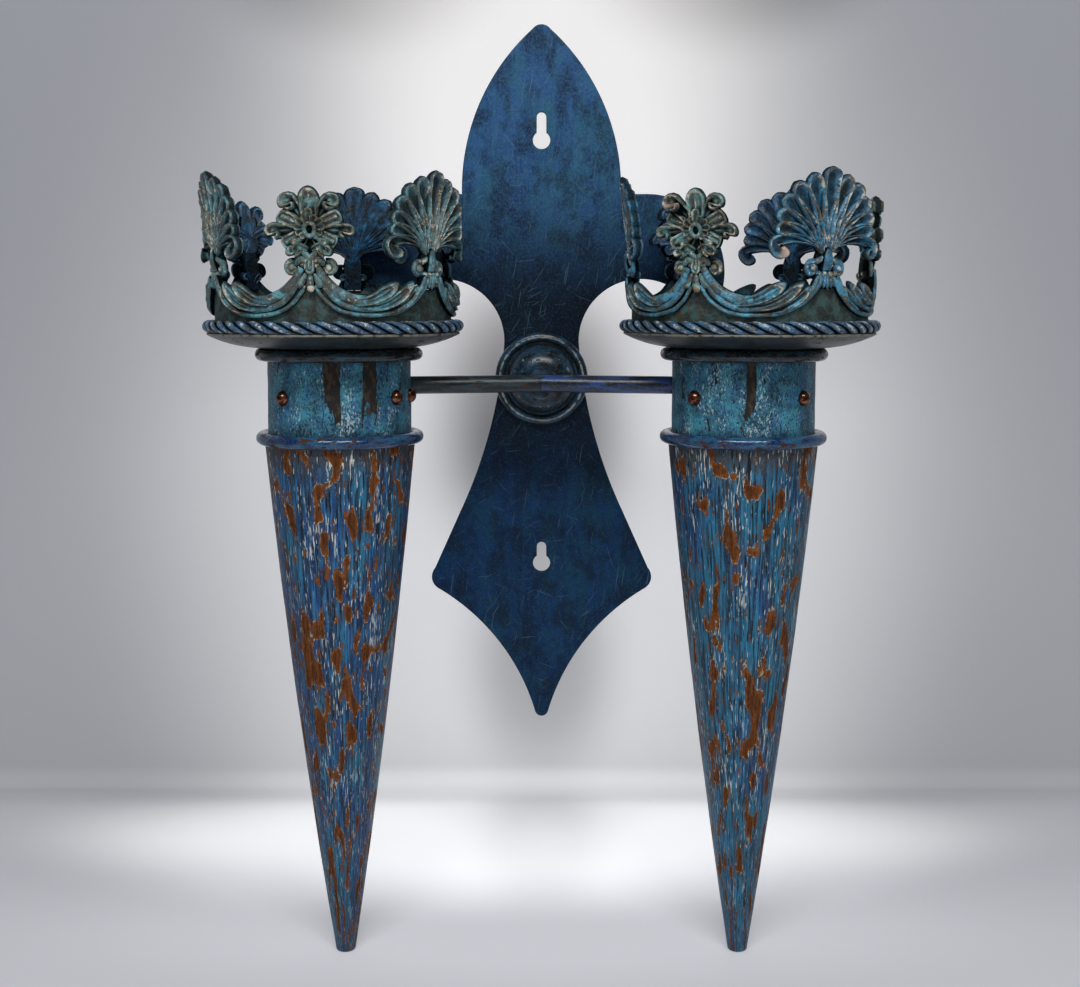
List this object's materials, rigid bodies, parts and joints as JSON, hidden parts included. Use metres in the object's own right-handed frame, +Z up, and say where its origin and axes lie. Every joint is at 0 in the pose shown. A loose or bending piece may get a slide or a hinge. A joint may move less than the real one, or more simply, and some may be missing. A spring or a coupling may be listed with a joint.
{
  "type": "wall candle holder",
  "caption": "Two-light wall candle holder: spear-shaped plate with keyholes, turned boss, shallow V arms and cone torches with crowns of shells and swags.",
  "frame": {"origin": "on the wall plane at the back of the plate, behind the axis of the boss", "axes": "+Z up, -Y away from the wall toward the room, +X to the right seen from the room"},
  "size_m": [0.3354, 0.1364, 0.4825],
  "materials": {
    "plate_paint": "satin dark navy to teal paint over sheet steel, finely scratched",
    "boss_paint": "satin very dark green-blue paint, worn on the high edges",
    "bare_steel": "plain steel",
    "arm_paint": "satin slate-blue paint with pale specks",
    "torch_wood": "turned wood under worn blue-teal paint, with bare grain flecks",
    "collar_paint": "granular teal paint, worn to grey-brown",
    "bead_paint": "satin slate paint with rust spots",
    "copper": "polished copper",
    "pan_paint": "satin dark slate-teal paint with a worn rim",
    "rope_paint": "blue-violet paint with pale worn high points",
    "crown_patina": "cast ornament in blue-teal patina with bone and gold-brown worn high points"
  },
  "bodies": {
    "root": {"wall_plate": "plate_paint", "plate_boss": "boss_paint", "boss_screws": "bare_steel", "arm_hub": "boss_paint", "hub_nut": "bare_steel", "left_arm": "arm_paint", "right_arm": "arm_paint", "left_torch_body": "torch_wood", "left_collar_band": "collar_paint", "left_upper_bead": "bead_paint", "left_lower_bead": "bead_paint", "left_collar_nails": "copper", "left_drip_pan": "pan_paint", "left_rope_rim": "rope_paint", "left_gallery_band": "crown_patina", "left_candle_pricket": "bare_steel", "left_shell_1": "crown_patina", "left_shell_2": "crown_patina", "left_shell_3": "crown_patina", "left_flower_1": "crown_patina", "left_flower_2": "crown_patina", "left_flower_3": "crown_patina", "left_swag_1": "crown_patina", "left_swag_2": "crown_patina", "left_swag_3": "crown_patina", "left_swag_4": "crown_patina", "left_swag_5": "crown_patina", "left_swag_6": "crown_patina", "right_torch_body": "torch_wood", "right_collar_band": "collar_paint", "right_upper_bead": "bead_paint", "right_lower_bead": "bead_paint", "right_collar_nails": "copper", "right_drip_pan": "pan_paint", "right_rope_rim": "rope_paint", "right_gallery_band": "crown_patina", "right_candle_pricket": "bare_steel", "right_shell_1": "crown_patina", "right_shell_2": "crown_patina", "right_shell_3": "crown_patina", "right_flower_1": "crown_patina", "right_flower_2": "crown_patina", "right_flower_3": "crown_patina", "right_swag_1": "crown_patina", "right_swag_2": "crown_patina", "right_swag_3": "crown_patina", "right_swag_4": "crown_patina", "right_swag_5": "crown_patina", "right_swag_6": "crown_patina"}
  },
  "joints": []
}
